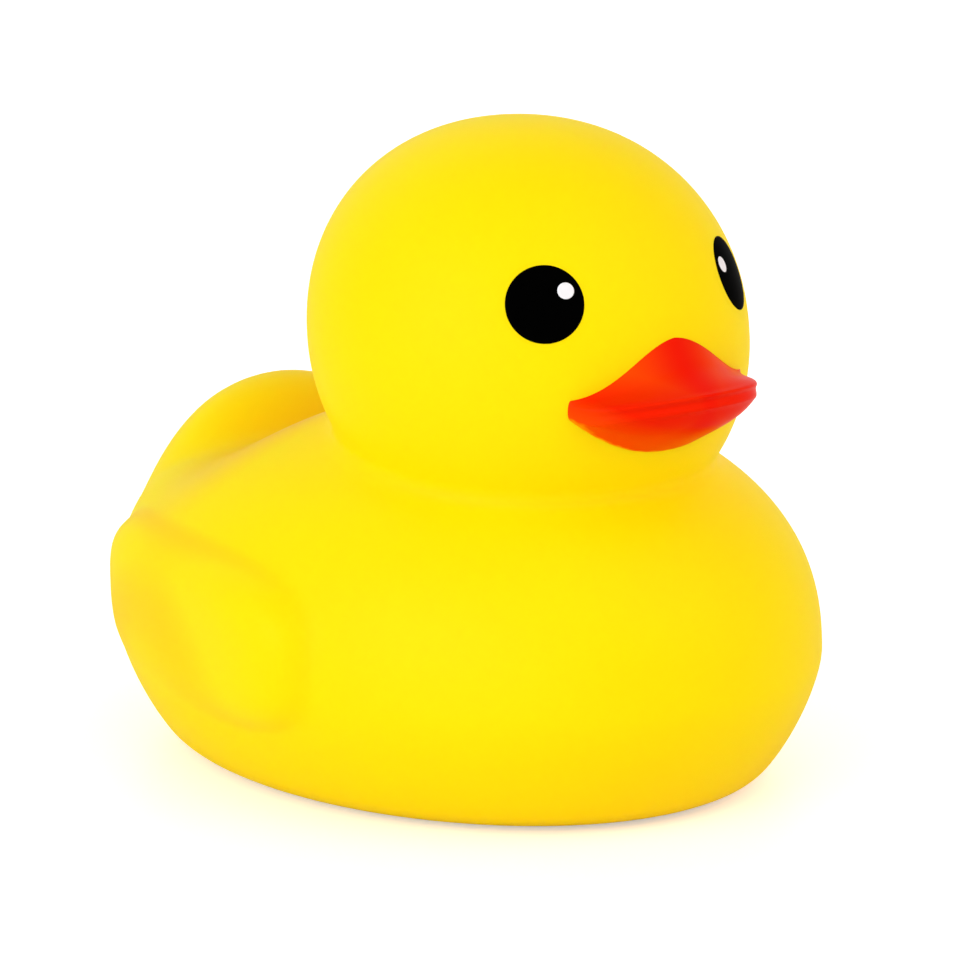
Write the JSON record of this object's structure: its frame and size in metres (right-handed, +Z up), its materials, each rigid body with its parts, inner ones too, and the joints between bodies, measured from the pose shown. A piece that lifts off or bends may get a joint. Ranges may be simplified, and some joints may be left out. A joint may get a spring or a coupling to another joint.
{
  "type": "rubber duck",
  "caption": "Hollow vinyl bath duck with a painted bill and eyes, low wings, an upturned tail and a squeaker in its flat base.",
  "frame": {"origin": "floor level, under the middle of the bounding box", "axes": "+Z up, -Y ahead of the bill, +X to the duck's left"},
  "size_m": [0.087, 0.107, 0.0855],
  "materials": {
    "yellow_vinyl": "matte, as moulded",
    "orange_paint": "semi-gloss",
    "black_paint": "gloss",
    "white_paint": "semi-gloss",
    "white_plastic": "satin",
    "reed_brass": "satin"
  },
  "bodies": {
    "root": {"duck_body": "yellow_vinyl", "bill_paint": "orange_paint", "eye_paint_right": "black_paint", "eye_paint_left": "black_paint", "glint_right": "white_paint", "glint_left": "white_paint", "squeaker_housing": "white_plastic", "squeaker_reed": "reed_brass", "squeaker_cap": "white_plastic"}
  },
  "joints": []
}
